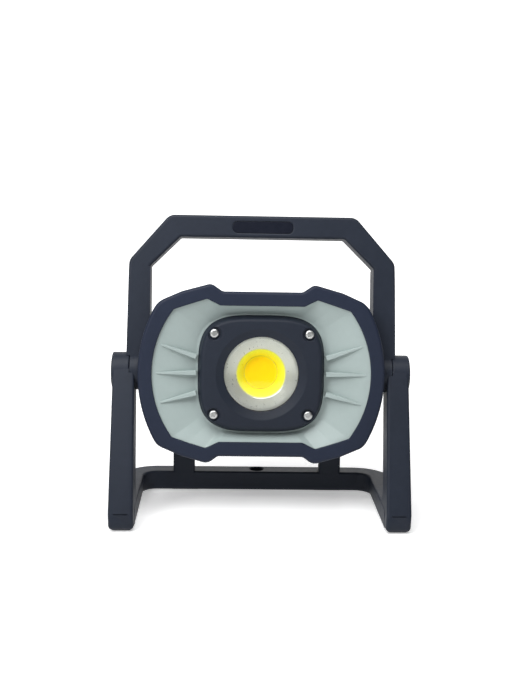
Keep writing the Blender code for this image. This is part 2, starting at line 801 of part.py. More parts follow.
def battery(cell_look, tray_look, head):
    """Two cells each side of the heat sink, upright, in a tray open to the back."""
    for name, side in sides():
        number = 0
        for centre in CELL_CENTRES:
            number += 1
            half = CELL_LENGTH / 2
            profile = [
                (-half, CELL_RADIUS - 0.8),
                (-half + 0.8, CELL_RADIUS),
                (half - 2.0, CELL_RADIUS),
                (half - 1.2, CELL_RADIUS - 0.8),
                (half - 1.2, 3.0),
                (half, 3.0),
            ]
            mesh = turned(profile, "Z", 18, (side * centre, CELL_Y))
            piece(f"battery_cell_{name}_{number}", mesh, cell_look, head)
        x = sorted((side * 32.4, side * 72.1))
        tray = piece(f"battery_tray_{name}", box(x, (8.6, 20.0), (-33.8, 33.8)), tray_look, head)
        x_inside = sorted((side * 33.3, side * 71.2))
        cut(tray, helper(box(x_inside, (9.6, 30.0), (-32.9, 32.9)), parent=head))
        x_window = sorted((side * 30.0, side * 34.0))
        cut(tray, helper(box(x_window, (12.0, 30.0), (-28.0, 28.0)), parent=head))


def controls(looks, head):
    board = piece(
        "control_board", prism(rectangle(-32, 32, -40, 40, 2.0), "Y", 20.6, 22.2), looks["board"], head
    )
    holes = [drum("Y", 15.0, 25.0, 1.6, 8, (side * 28.5, up * 36.5)) for _, side, up in corners()]
    cut(board, helper(*holes, parent=head))
    base = prism(rectangle(-3.1, 3.1, BUTTON_HEIGHT - 3.1, BUTTON_HEIGHT + 3.1), "Y", 22.5, 24.6)
    switch = piece("power_switch", base, looks["switch"], head)
    add(switch, helper(drum("Y", 24.0, 25.9, 1.7, 12, (0.0, BUTTON_HEIGHT)), parent=head))
    socket_outline = rectangle(-4.6, 4.6, PORT_HEIGHT - 1.7, PORT_HEIGHT + 1.7, 1.5)
    socket = piece("charging_socket", prism(socket_outline, "Y", 22.5, 31.0), looks["steel"], head)
    mouth = rectangle(-4.1, 4.1, PORT_HEIGHT - 1.2, PORT_HEIGHT + 1.2, 1.1)
    cut(socket, helper(prism(mouth, "Y", 25.0, 40.0), parent=head))
    window = prism(rectangle(-9.0, 9.0, 13.0, 17.0, 1.7), "Y", 27.0, HOUSING_REAR + 0.2)
    piece("charge_level_window", window, looks["window"], head)
    spot = (0.0, BUTTON_HEIGHT)
    profile = [
        (27.4, BUTTON_RADIUS + 1.5),
        (28.6, BUTTON_RADIUS + 1.5),
        (28.6, BUTTON_RADIUS),
        (32.2, BUTTON_RADIUS),
        (33.0, BUTTON_RADIUS - 0.9),
    ]
    piece("power_button", turned(profile, "Y", 24, spot), looks["button"], head, (0.0, 30.0, 30.0))
    flap_top = PORT_HEIGHT + 7.0
    flap = rectangle(-11.0, 11.0, PORT_HEIGHT - 6.5, flap_top, 3.0)
    rear = HOUSING_REAR + GAP
    cover = prism(flap, "Y", rear, rear + 2.0)
    piece("port_cover", cover, looks["rubber"], head, (0.0, rear, flap_top))


def leads(look, head):
    """Flat leads to the control board: one from the LED board over the heat sink's end, one from each pair of cells."""
    path = [(1.8, 15.3), (3.0, 15.3), (3.0, 35.1), (20.3, 35.1), (20.3, 36.3), (1.8, 36.3)]
    piece("led_lead", prism(path, "X", -1.5, 1.5), look, head)
    for name, side in sides():
        x = sorted((side * 24.0, side * 44.0))
        piece(f"battery_lead_{name}", box(x, (22.6, 23.8), (31.7, 32.9)), look, head)


def rear_screws(look, head):
    for name, side, up in corners():
        centre = (side * REAR_SCREW[0], up * REAR_SCREW[1])
        mesh = screw_mesh(centre, 11.5, 2.9, -2.2, 1.4, -8.8)
        piece(f"rear_screw_{name}", mesh, look, head)


# ---------------------------------------------------------------- the whole lamp


def main():
    clear_scene()
    handle = group("handle_axis", HANDLE_TILT)
    head = group("head_axis", HEAD_TILT)
    frame_plastic = material("frame_plastic", (0.028, 0.034, 0.045), 0.5)
    bezel_plastic = material("bezel_plastic", (0.028, 0.034, 0.062), 0.5)
    panel_plastic = material("panel_plastic", (0.36, 0.42, 0.41), 0.4)
    module_plastic = material("module_plastic", (0.02, 0.023, 0.032), 0.45)
    rubber = material("rubber", (0.012, 0.012, 0.014), 0.8)
    steel = material("steel", (0.6, 0.6, 0.6), 0.3, 1.0)
    brass = material("brass", (0.75, 0.55, 0.25), 0.35, 1.0)
    nylon = material("nylon", (0.7, 0.7, 0.66), 0.6)
    plate = material("plate", (0.012, 0.013, 0.022), 0.35)
    glass = material("lens_glass", (0.95, 0.97, 0.97), 0.05, 0.0, 0.9)
    chrome = material("reflector_chrome", (0.85, 0.85, 0.85), 0.1, 1.0)
    phosphor = material("led_phosphor", (1.0, 0.7, 0.0), 0.5)
    aluminium = material("aluminium", (0.7, 0.7, 0.72), 0.4, 1.0)
    pad_grey = material("thermal_pad_grey", (0.4, 0.45, 0.5), 0.8)
    cell_wrap = material("cell_wrap", (0.05, 0.2, 0.5), 0.4)
    tray_black = material("tray_black", (0.03, 0.03, 0.03), 0.6)
    board_green = material("board_green", (0.02, 0.15, 0.06), 0.5)
    window_white = material("window_white", (0.8, 0.82, 0.82), 0.3)
    button_rubber = material("button_rubber", (0.25, 0.3, 0.3), 0.6)
    lead_sheath = material("lead_sheath", (0.4, 0.02, 0.02), 0.5)

    stand_frame(frame_plastic)
    foot_pads(rubber)
    pivot_hardware(frame_plastic, steel, nylon, head)
    handle_frame(frame_plastic, handle)
    handle_plate(plate, handle)
    handle_bushes(nylon, handle)
    front_bezel(bezel_plastic, head)
    front_panel(panel_plastic, head)
    panel_seal(rubber, head)
    rear_housing(frame_plastic, head)
    inner_washers(nylon, head)
    pivot_inserts(brass, head)
    module_housing(module_plastic, head)
    optics(glass, rubber, chrome, aluminium, phosphor, pad_grey, head)
    module_screws(steel, head)
    heat_sink(aluminium, head)
    battery(cell_wrap, tray_black, head)
    looks = {
        "board": board_green,
        "switch": tray_black,
        "steel": steel,
        "window": window_white,
        "button": button_rubber,
        "rubber": rubber,
    }
    controls(looks, head)
    leads(lead_sheath, head)
    rear_screws(steel, head)


main()
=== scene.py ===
"""Looks of the rechargeable work light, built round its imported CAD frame.

Shapes are drawn in millimetres in three places: the stand's, on the floor; the handle's and the lamp
head's, both from the pivot axis and each at its own tilt. Every visible moulding is rebuilt here with
finer outlines and rounded edges; inner pieces keep their CAD shape and get a finish. Materials and the
studio are in metres.
"""

import json
import math

import bmesh
import bpy
from mathutils import Matrix, Vector


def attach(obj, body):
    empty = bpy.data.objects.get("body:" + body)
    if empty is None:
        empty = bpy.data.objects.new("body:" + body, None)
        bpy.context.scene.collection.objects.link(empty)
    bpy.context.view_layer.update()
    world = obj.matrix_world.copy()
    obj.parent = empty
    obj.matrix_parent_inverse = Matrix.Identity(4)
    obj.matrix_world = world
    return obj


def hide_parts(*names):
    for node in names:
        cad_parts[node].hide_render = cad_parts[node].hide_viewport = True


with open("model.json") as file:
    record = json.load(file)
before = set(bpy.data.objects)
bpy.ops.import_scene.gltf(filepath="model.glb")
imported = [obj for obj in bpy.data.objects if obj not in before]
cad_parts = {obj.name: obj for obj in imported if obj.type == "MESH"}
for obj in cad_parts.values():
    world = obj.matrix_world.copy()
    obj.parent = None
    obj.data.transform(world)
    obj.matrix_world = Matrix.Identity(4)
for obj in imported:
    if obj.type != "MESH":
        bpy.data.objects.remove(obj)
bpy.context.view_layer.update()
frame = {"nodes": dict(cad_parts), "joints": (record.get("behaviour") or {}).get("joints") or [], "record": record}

MM = 0.001
JOINTS = {joint["name"]: joint for joint in frame["joints"]}
PIVOT = Vector(JOINTS["handle_hinge"]["pos_m"])
HANDLE_TILT = math.radians(10.5)
HEAD_TILT = math.radians(6.0)
STAND = Matrix.Identity(4)
HANDLE = Matrix.Translation(PIVOT) @ Matrix.Rotation(-HANDLE_TILT, 4, "X")
HEAD = Matrix.Translation(PIVOT) @ Matrix.Rotation(-HEAD_TILT, 4, "X")
PIVOT_YZ = (PIVOT.y / MM, PIVOT.z / MM)
SIDES = (("left", -1), ("right", 1))
CORNERS = (("upper_left", -1, 1), ("upper_right", 1, 1), ("lower_left", -1, -1), ("lower_right", 1, -1))

# How many facets go round a turned shape, by how large it looks
FACETS_LARGE = 128
FACETS_MEDIUM = 96
FACETS_SMALL = 64
FACETS_TINY = 48

SHARP_EDGE = math.radians(40.0)  # only edges sharper than this are rounded
ARC_SHARE = 0.88  # the part of the face's side arc that its corners leave over


# ---------------------------------------------------------------- outlines


def rounded(corners, steps=8):
    """Closed outline through corners (u, v, radius), each turned into an arc."""
    points = []
    for i, (u, v, radius) in enumerate(corners):
        here = Vector((u, v))
        if radius == 0:
            points.append((u, v))
            continue
        before = (Vector(corners[i - 1][:2]) - here).normalized()
        after = (Vector(corners[(i + 1) % len(corners)][:2]) - here).normalized()
        half = before.angle(after) / 2
        centre = here + (before + after).normalized() * radius / math.sin(half)
        start = here + before * radius / math.tan(half) - centre
        end = here + after * radius / math.tan(half) - centre
        first = math.atan2(start.y, start.x)
        sweep = (math.atan2(end.y, end.x) - first + math.pi) % math.tau - math.pi
        for k in range(steps + 1):
            angle = first + sweep * k / steps
            points.append((centre.x + radius * math.cos(angle), centre.y + radius * math.sin(angle)))
    return points


def rectangle(u0, u1, v0, v1, radius, steps=8):
    return rounded([(u0, v0, radius), (u1, v0, radius), (u1, v1, radius), (u0, v1, radius)], steps)


def circle(radius, count, centre=(0.0, 0.0)):
    angles = [math.tau * k / count for k in range(count)]
    return [(centre[0] + radius * math.cos(a), centre[1] + radius * math.sin(a)) for a in angles]


def offset(outline, distance):
    """The outline moved outwards, or inwards when the distance is negative."""
    count = len(outline)
    area = sum(
        outline[i - 1][0] * outline[i][1] - outline[i][0] * outline[i - 1][1] for i in range(count)
    )
    side = distance * math.copysign(1.0, area)
    moved = []
    for i, point in enumerate(outline):
        here = Vector(point)
        before = (here - Vector(outline[i - 1])).normalized()
        after = (Vector(outline[(i + 1) % count]) - here).normalized()
        normal = Vector((before.y, -before.x)) + Vector((after.y, -after.x))
        moved.append(tuple(here + normal * side / (1 + before.dot(after))))
    return moved


def oval(half, power, angles):
    """Superellipse with the half sizes given, at the polar angles given."""
    points = []
    for a in angles:
        reach = abs(math.cos(a) / half[0]) ** power + abs(math.sin(a) / half[1]) ** power
        reach **= -1 / power
        points.append((reach * math.cos(a), reach * math.sin(a)))
    return points


def cross(radius, turn):
    """Outline of a screw's cross recess with soft lobes, turned by an angle."""
    points = []
    steps = 64
    for k in range(steps):
        a = math.tau * k / steps
        reach = radius * (0.66 + 0.34 * math.cos(4 * a))
        points.append((reach * math.cos(a + turn), reach * math.sin(a + turn)))
    return points


def blended(first, second, share):
    """The outline part of the way from the first to the second."""
    return [(a[0] + (b[0] - a[0]) * share, a[1] + (b[1] - a[1]) * share) for a, b in zip(first, second)]


def face_outline(upper, lower, arc_centre, arc_radius):
    """The lamp face's outline from its right half: upper corners, the side's arc, then lower corners."""
    right = list(upper)
    arc_steps = 36
    first = math.atan2(upper[-1][1], upper[-1][0] - arc_centre)
    last = math.atan2(lower[0][1], lower[0][0] - arc_centre)
    for k in range(arc_steps + 1):
        angle = (first * (arc_steps - k) + last * k) / arc_steps * ARC_SHARE
        right.append((arc_centre + arc_radius * math.cos(angle), arc_radius * math.sin(angle), 0.0))
    right += lower
    left = [(-u, v, radius) for u, v, radius in reversed(right)]
    return rounded(right + left, 7)


def flat(height):
    """Points along the straight middle of the face's outline, from the centre outwards."""
    return [(u, height, 0.0) for u in (6.0, 12.0, 18.0)]


def quarter(steps, first=1):
    """Angles that divide a quarter turn evenly."""
    return [math.radians(90.0 * k / steps) for k in range(first, steps + 1)]


def mirrored(profile, side):
    """A (level, radius) profile, put on the left or the right."""
    return [(side * level, radius) for level, radius in profile]


BEZEL_OUTLINE = face_outline(
    flat(61.2)
    + [
        (29.3, 61.2, 5.0),
        (37.6, 66.9, 6.0),
        (59.0, 61.0, 20.0),
        (76.7, 53.2, 16.0),
    ],
    [
        (76.7, -53.2, 12.0),
        (59.0, -60.8, 20.0),
        (39.0, -66.5, 8.0),
        (31.6, -60.9, 5.0),
    ]
    + flat(-60.9)[::-1],
    -13.8,
    105.0,
)
BEZEL_OPENING = face_outline(
    flat(50.8)
    + [
        (31.0, 50.8, 4.0),
        (40.5, 55.6, 2.5),
        (53.0, 51.6, 20.0),
        (65.0, 47.6, 3.0),
    ],
    [
        (65.7, -46.7, 2.5),
        (53.5, -50.9, 20.0),
        (40.7, -54.8, 3.5),
        (31.2, -50.1, 4.0),
    ]
    + flat(-50.1)[::-1],
    1.6,
    79.2,
)
RIM_OUTLINE = offset(BEZEL_OPENING, 1.6)
RIM_ANGLES = [math.atan2(v, u) for u, v in RIM_OUTLINE]


# ---------------------------------------------------------------- meshes


def place(outline, axis, level):
    """Turns outline points (u, v) into space: across X they are (y, z), across Y (x, z), across Z (x, y)."""
    if axis == "X":
        return [(level, u, v) for u, v in outline]
    if axis == "Y":
        return [(u, level, v) for u, v in outline]
    return [(u, v, level) for u, v in outline]


def skin(loops, ring=False):
    """Solid over matching loops of points: capped at both ends, or closed on itself as a ring."""
    mesh = bmesh.new()
    rows = [[mesh.verts.new(point) for point in loop] for loop in loops]
    pairs = list(zip(rows, rows[1:]))
    if ring:
        pairs.append((rows[-1], rows[0]))
    else:
        mesh.faces.new(rows[0])
        mesh.faces.new(rows[-1])
    for low, high in pairs:
        for i in range(len(low)):
            mesh.faces.new((low[i - 1], low[i], high[i], high[i - 1]))
    bmesh.ops.recalc_face_normals(mesh, faces=mesh.faces)
    return mesh


def prism(outline, axis, start, end):
    return skin([place(outline, axis, start), place(outline, axis, end)])


def box(x, y, z):
    return prism([(x[0], y[0]), (x[1], y[0]), (x[1], y[1]), (x[0], y[1])], "Z", z[0], z[1])


def turned(profile, axis, count, centre=(0.0, 0.0), ring=False):
    """Turned solid: the profile is (level, radius) along the axis."""
    return skin([place(circle(radius, count, centre), axis, level) for level, radius in profile], ring)


def drum(axis, start, end, radius, count, centre=(0.0, 0.0)):
    return turned([(start, radius), (end, radius)], axis, count, centre)


def soften(mesh, width, segments, where=None):
    """Rounds the mesh's sharp edges, or those of them whose ends both pass the test."""
    chosen = []
    for edge in mesh.edges:
        if not edge.is_manifold or edge.calc_face_angle() < SHARP_EDGE:
            continue
        if where is None or all(where(vert.co) for vert in edge.verts):
            chosen.append(edge)
    bmesh.ops.bevel(
        mesh, geom=chosen, offset=width, segments=segments, profile=0.5, affect="EDGES", clamp_overlap=True
    )
    return mesh


def stand_in(mesh):
    """Temporary object that a Boolean can work on."""
    data = bpy.data.meshes.new("work")
    mesh.to_mesh(data)
    mesh.free()
    made = bpy.data.objects.new("work", data)
    bpy.context.scene.collection.objects.link(made)
    return made


def combined(mesh, others, operation):
    """The mesh joined with the others, or with the others cut from it."""
    target = stand_in(mesh)
    tools = [stand_in(other) for other in others]
    for tool in tools:
        modifier = target.modifiers.new("work", "BOOLEAN")
        modifier.operation = operation
        modifier.object = tool
    made = bmesh.new()
    made.from_object(target, bpy.context.evaluated_depsgraph_get())
    for obj in [target, *tools]:
        data = obj.data
        bpy.data.objects.remove(obj)
        bpy.data.meshes.remove(data)
    return made


def add(mesh, *others):
    return combined(mesh, others, "UNION")


def cut(mesh, *others):
    return combined(mesh, others, "DIFFERENCE")


def piece(name, mesh, place_in, body, node, look, crease=32.0):
    """Finished object from a mesh in millimetres, riding on a CAD body and standing for a CAD node."""
    mesh.transform(place_in @ Matrix.Scale(MM, 4))
    data = bpy.data.meshes.new(name)
    mesh.to_mesh(data)
    mesh.free()
    data.shade_smooth()
    data.set_sharp_from_angle(angle=math.radians(crease))
    data.materials.clear()
    data.materials.append(LOOKS[look])
    made = bpy.data.objects.new(name, data)
    bpy.context.scene.collection.objects.link(made)
    normals = made.modifiers.new("Even normals", "WEIGHTED_NORMAL")
    normals.keep_sharp = True
    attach(made, body)
    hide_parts(node)


# ---------------------------------------------------------------- materials


class Nodes:
    """Short names for building a material's node tree."""

    def __init__(self, name):
        self.material = bpy.data.materials.new(name)
        self.material.use_nodes = True
        self.tree = self.material.node_tree
        self.shader = self.tree.nodes["Principled BSDF"]
        self.coordinates = self.make("ShaderNodeTexCoord").outputs["Object"]

    def make(self, kind, **inputs):
        node = self.tree.nodes.new(kind)
        for key, value in inputs.items():
            self.put(node, key.replace("_", " "), value)
        return node

    def put(self, node, key, value):
        if isinstance(value, bpy.types.NodeSocket):
            self.tree.links.new(value, node.inputs[key])
        else:
            node.inputs[key].default_value = value

    def set(self, **inputs):
        for key, value in inputs.items():
            self.put(self.shader, key.replace("_", " "), value)

    def noise(self, scale, detail, stretch=(1.0, 1.0, 1.0)):
        mapping = self.make("ShaderNodeMapping", Vector=self.coordinates, Scale=stretch)
        node = self.make("ShaderNodeTexNoise", Vector=mapping.outputs[0], Scale=scale, Detail=detail)
        return node.outputs["Fac"]

    def spread(self, value, low, high, to_low, to_high):
        """The value taken from one range to another, clamped."""
        node = self.make("ShaderNodeMapRange")
        self.put(node, "Value", value)
        ends = {"From Min": low, "From Max": high, "To Min": to_low, "To Max": to_high}
        for key, entry in ends.items():
            self.put(node, key, entry)
        return node.outputs[0]

    def math(self, operation, first, second=0.0):
        node = self.tree.nodes.new("ShaderNodeMath")
        node.operation = operation
        self.put(node, 0, first)
        self.put(node, 1, second)
        return node.outputs[0]

    def evened(self, noise, to_low=0.0, to_high=1.0):
        """A noise whose middle range is stretched from one value to another."""
        return self.spread(noise, 0.3, 0.7, to_low, to_high)

    def mix(self, share, first, second):
        node = self.tree.nodes.new("ShaderNodeMix")
        node.data_type = "RGBA"
        self.put(node, 0, share)
        for key, colour in ((6, first), (7, second)):
            self.put(node, key, colour if isinstance(colour, bpy.types.NodeSocket) else (*colour, 1.0))
        return node.outputs[2]

    def edges(self, radius):
        """1 on edges sharper than the radius, 0 on flat material."""
        bevel = self.make("ShaderNodeBevel", Radius=radius)
        bevel.samples = 4
        geometry = self.make("ShaderNodeNewGeometry")
        dot = self.tree.nodes.new("ShaderNodeVectorMath")
        dot.operation = "DOT_PRODUCT"
        self.put(dot, 0, bevel.outputs[0])
        self.put(dot, 1, geometry.outputs["Normal"])
        return self.spread(dot.outputs["Value"], 0.86, 0.99, 1.0, 0.0)

    def bump(self, *layers):
        """Relief from (height, distance in metres) layers."""
        normal = None
        for height, distance in layers:
            node = self.make("ShaderNodeBump", Height=height, Distance=distance, Strength=1.0)
            if normal:
                self.put(node, "Normal", normal)
            normal = node.outputs[0]
        self.set(Normal=normal)


def plastic(
    name, colour, roughness, grain=0.00002, grain_scale=1500.0, specular=0.3, edge=0.25, variation=0.12
):
    """Moulded plastic: an eroded grain, faint flow marks, and edges a little smoother, painted lighter in patches
    as a painted edge highlight.
    """
    n = Nodes(name)
    cloud = n.noise(16.0, 3.0)
    mottle = n.noise(240.0, 2.0)
    fine = n.noise(grain_scale, 2.0)
    tone = n.evened(n.math("ADD", n.math("MULTIPLY", cloud, 0.7), n.math("MULTIPLY", mottle, 0.3)))
    dark = [c * (1 - variation) for c in colour]
    light = [c * (1 + variation) for c in colour]
    base = n.mix(tone, dark, light)
    # painted edge highlight: sharp edges are painted lighter in patches, standing in for the sheen that rounded
    # edges catch; the edge argument sets its strength, and the same mask makes those edges a little smoother
    edge_highlight_colour = [min(1.0, c * 1.6 + 0.004) for c in colour]
    edge_highlight_and_smoothing = n.math("MULTIPLY", n.edges(0.0007), n.spread(n.noise(90.0, 4.0), 0.35, 0.65, 0.0, edge))
    n.set(Base_Color=n.mix(edge_highlight_and_smoothing, base, edge_highlight_colour))
    speckle = n.math("ADD", n.math("MULTIPLY", fine, 0.5), n.math("MULTIPLY", mottle, 0.5))
    rough = n.evened(speckle, roughness - 0.06, roughness + 0.06)
    n.set(Roughness=n.math("SUBTRACT", rough, n.math("MULTIPLY", edge_highlight_and_smoothing, 0.25)))
    n.shader.inputs["Specular IOR Level"].default_value = specular
    n.bump((cloud, 0.00006), (fine, grain))
    return n.material


def metal(name, colour, roughness, scale=900.0, stretch=(1.0, 1.0, 1.0)):
    """Bare metal with fine tool marks and slightly uneven polish."""
    n = Nodes(name)
    marks = n.noise(scale, 3.0, stretch)
    cloud = n.noise(120.0, 3.0)
    n.set(
        Base_Color=n.mix(n.evened(cloud), [c * 0.85 for c in colour], colour),
        Roughness=n.evened(marks, roughness * 0.7, roughness * 1.3),
        Metallic=1.0,
    )
    n.bump((marks, 0.000008))
    return n.material


def rubber(name, colour, roughness=0.75):
    """Matt rubber with a fine grain and a little dust."""
    n = Nodes(name)
    fine = n.noise(2200.0, 3.0)
    dust = n.noise(70.0, 5.0)
    n.set(
        Base_Color=n.mix(n.spread(dust, 0.45, 0.75, 0.0, 0.5), colour, [c * 1.5 + 0.01 for c in colour]),
        Roughness=n.evened(fine, roughness - 0.08, roughness + 0.1),
    )
    n.shader.inputs["Specular IOR Level"].default_value = 0.25
    n.bump((fine, 0.00003))
    return n.material


def radius_from_axis(n):
    """Distance from the lamp's axis, in metres."""
    tilt = (-HEAD_TILT, 0.0, 0.0)
    local = n.make("ShaderNodeMapping", Vector=n.coordinates, Location=PIVOT, Rotation=tilt)
    local.vector_type = "TEXTURE"
    parts = n.make("ShaderNodeSeparateXYZ", Vector=local.outputs[0])
    squares = [n.math("POWER", parts.outputs[name], 2.0) for name in ("X", "Z")]
    return n.math("SQRT", n.math("ADD", *squares))


def phosphor_look():
    """Phosphor under clear gel: fine grains, a paler margin, and a weak glow for light inside the gel."""
    n = Nodes("led_phosphor")
    grains = n.noise(2600.0, 2.0)
    cloud = n.noise(180.0, 3.0)
    margin = n.spread(radius_from_axis(n), 0.0108, 0.0124, 0.0, 1.0)
    warm = n.mix(n.evened(cloud), (1.0, 0.63, 0.0), (1.0, 0.67, 0.0))
    colour = n.mix(margin, warm, (0.9, 0.78, 0.02))
    n.set(Base_Color=colour, Emission_Color=colour, Roughness=n.evened(grains, 0.35, 0.55))
    n.shader.inputs["Emission Strength"].default_value = 0.14
    n.shader.inputs["Specular IOR Level"].default_value = 0.15
    n.bump((grains, 0.00002))
    return n.material


def reflector_look():
    """Metallised plastic, slightly wavy. Its steep throat carries a painted reflection of the LED: it is painted
    in the LED's colour, made less metallic, and given a weak painted glow.
    """
    n = Nodes("reflector_chrome")
    wave = n.noise(70.0, 2.0)
    brushed = n.noise(500.0, 3.0)
    radius = n.math("ADD", radius_from_axis(n), n.evened(wave, -0.0002, 0.0002))
    # painted reflection: flare is 0 on the throat, which is painted in the LED's colours (deeper near the LED,
    # paler further up) and glows weakly with them, and 1 on the silver flare
    flare = n.spread(radius, 0.0176, 0.0188, 0.0, 1.0)
    silver = n.mix(n.evened(wave), (0.57, 0.6, 0.54), (0.65, 0.68, 0.62))
    rise = n.spread(radius, 0.0126, 0.0176, 0.0, 1.0)
    painted_led_reflection = n.mix(rise, (0.85, 0.72, 0.01), (0.8, 0.84, 0.07))
    n.set(
        Base_Color=n.mix(flare, painted_led_reflection, silver),
        Roughness=n.evened(brushed, 0.27, 0.33),
        Metallic=n.math("MULTIPLY", flare, 0.55),
        Emission_Color=painted_led_reflection,
        Emission_Strength=n.spread(flare, 0.0, 1.0, 0.2, 0.0),
    )
    n.bump((wave, 0.0001))
    return n.material


def glass_look():
    """Clear lens: only its reflection shows, and grows towards grazing angles."""
    n = Nodes("lens_glass")
    facing = n.make("ShaderNodeLayerWeight", Blend=0.5).outputs["Facing"]
    smear = n.noise(60.0, 4.0)
    n.set(
        Base_Color=(1.0, 1.0, 1.0, 1.0),
        Metallic=1.0,
        Roughness=n.evened(smear, 0.02, 0.06),
        Alpha=n.spread(n.math("POWER", facing, 5.0), 0.0, 1.0, 0.03, 0.9),
    )
    return n.material


def board_look():
    """Green solder mask with the faint grid of the tracks under it."""
    n = Nodes("board_green")
    tracks = n.make("ShaderNodeTexBrick", Vector=n.coordinates, Scale=260.0)
    cloud = n.noise(120.0, 2.0)
    green = n.mix(n.evened(cloud), (0.01, 0.1, 0.04), (0.02, 0.15, 0.06))
    n.set(
        Base_Color=n.mix(tracks.outputs["Fac"], green, (0.04, 0.22, 0.09)),
        Roughness=n.evened(cloud, 0.3, 0.45),
    )
    n.bump((tracks.outputs["Fac"], 0.00004))
    return n.material


def window_look():
    """Milky plastic that lets some light through."""
    n = Nodes("window_white")
    cloud = n.noise(400.0, 2.0)
    n.set(
        Base_Color=n.mix(n.evened(cloud), (0.62, 0.65, 0.66), (0.75, 0.78, 0.78)),
        Roughness=n.evened(cloud, 0.2, 0.3),
    )
    n.shader.inputs["Transmission Weight"].default_value = 0.3
    return n.material


# each plastic's edge argument sets how strong its painted edge highlight is
LOOKS = {
    "frame_plastic": plastic("frame_plastic", (0.0165, 0.0215, 0.034), 0.5, specular=0.22),
    "bezel_plastic": plastic(
        "bezel_plastic", (0.0145, 0.0205, 0.04), 0.52, grain_scale=1800.0, specular=0.22
    ),
    "panel_plastic": plastic(
        "panel_plastic", (0.345, 0.413, 0.403), 0.42, grain=0.000012, specular=0.4, edge=0.3, variation=0.05
    ),
    "module_plastic": plastic(
        "module_plastic", (0.0128, 0.0175, 0.029), 0.55, grain=0.00001, grain_scale=2000.0, specular=0.25
    ),
    "plate_plastic": plastic("plate_plastic", (0.008, 0.01, 0.018), 0.34, grain=0.000004, specular=0.2),
    "tray_plastic": plastic("tray_plastic", (0.03, 0.03, 0.03), 0.6),
    "nylon": plastic("nylon", (0.62, 0.61, 0.55), 0.5, grain=0.000008, variation=0.06),
    "lens_glass": glass_look(),
    "seal_rubber": rubber("seal_rubber", (0.012, 0.012, 0.013)),
    "pad_rubber": rubber("pad_rubber", (0.014, 0.014, 0.015), 0.8),
    "flap_rubber": rubber("flap_rubber", (0.016, 0.017, 0.019), 0.7),
    "button_rubber": rubber("button_rubber", (0.2, 0.24, 0.24), 0.6),
    "thermal_pad": rubber("thermal_pad", (0.35, 0.42, 0.46), 0.8),
    "lead_sheath": rubber("lead_sheath", (0.4, 0.02, 0.02), 0.5),
    "reflector_chrome": reflector_look(),
    "led_phosphor": phosphor_look(),
    "board_aluminium": metal("board_aluminium", (0.8, 0.8, 0.78), 0.4),
    "sink_aluminium": metal("sink_aluminium", (0.72, 0.73, 0.75), 0.38, 700.0, (1.0, 1.0, 0.03)),
    "cell_wrap": plastic("cell_wrap", (0.03, 0.13, 0.4), 0.32, grain=0.000003, specular=0.5, variation=0.08),
    "board_green": board_look(),
    "window_plastic": window_look(),
    "steel": metal("steel", (0.68, 0.69, 0.68), 0.36, 1600.0),
    "brass": metal("brass", (0.75, 0.55, 0.25), 0.33, 1200.0),
}
LOOKS["housing_plastic"] = LOOKS["frame_plastic"]


# ---------------------------------------------------------------- stand

STAND_WIDTH = 220.0
STAND_FRONT = -55.65
STAND_REAR = 55.65
STAND_BOTTOM = 0.5  # the rubber feet stand out below it
RAIL_HEIGHT = 16.4
RAIL_INNER = 91.4
CROSSBAR_DEPTH = 16.0
CROSSBAR_MIDDLE = STAND_REAR - CROSSBAR_DEPTH / 2
FOOT_CHAMFER = 3.2

ARM_LEAN = math.radians(21.9)
ARM_LENGTH = 107.1
ARM_DEPTH = 21.0
ARM_DRAFT = 2.5  # the arm's inner face leans outwards by this much up to the pivot
CREASE_HEIGHT = 14.5  # the arm leans back from here up
HEEL_LENGTH = 14.0

EYE_INNER = 98.0
EYE_OUTER = 111.2
EYE_RADIUS = 14.2
EYE_ROOM = 14.7  # radius kept free for what turns beside an eye
WASHER_ROOM = 9.4
BOLT_ROOM = 3.4
BOLT_HEAD_ROOM = 5.8
BOLT_SEAT = 104.0
CAP_ROOM = 12.2
CAP_SEAT = 109.4

POST_X = (50.55, 67.85)
POST_Y = (39.75, 49.65)
POST_Z = (10.4, 42.0)

PAD_HEIGHT = 2.0
PAD_GAP = 0.3


def arm_mesh(side):
    """Leaning arm with its foot, narrower at the pivot, chamfered below and rounded above."""
    up = Vector((math.sin(ARM_LEAN), math.cos(ARM_LEAN)))
    back = Vector((math.cos(ARM_LEAN), -math.sin(ARM_LEAN)))
    crease = Vector((STAND_FRONT, CREASE_HEIGHT))
    front_top = crease + up * ARM_LENGTH
    rear_top = front_top + back * ARM_DEPTH
    rear_foot = rear_top - up * (rear_top.y - RAIL_HEIGHT) / up.y
    heel = rear_foot.x + HEEL_LENGTH
    profile = rounded(
        [
            (STAND_FRONT + 1.5, STAND_BOTTOM, 0.0),
            (crease.x, crease.y, 0.0),
            (front_top.x, front_top.y, 0.0),
            (rear_top.x, rear_top.y, 0.0),
            (rear_foot.x, rear_foot.y, 8.0),
            (heel, RAIL_HEIGHT, 0.0),
            (heel, STAND_BOTTOM, 0.0),
        ]
    )
    inner_face = []
    for y, z in profile:
        inner_face.append((side * (RAIL_INNER + ARM_DRAFT * min(z / PIVOT_YZ[1], 1.0)), y, z))
    outer_face = [(side * STAND_WIDTH / 2, y, z) for y, z in profile]
    mesh = soften(skin([inner_face, outer_face]), FOOT_CHAMFER, 1, where=lambda co: co.z < 1.0)
    return soften(mesh, 2.8, 3, where=lambda co: co.z > 3.0)


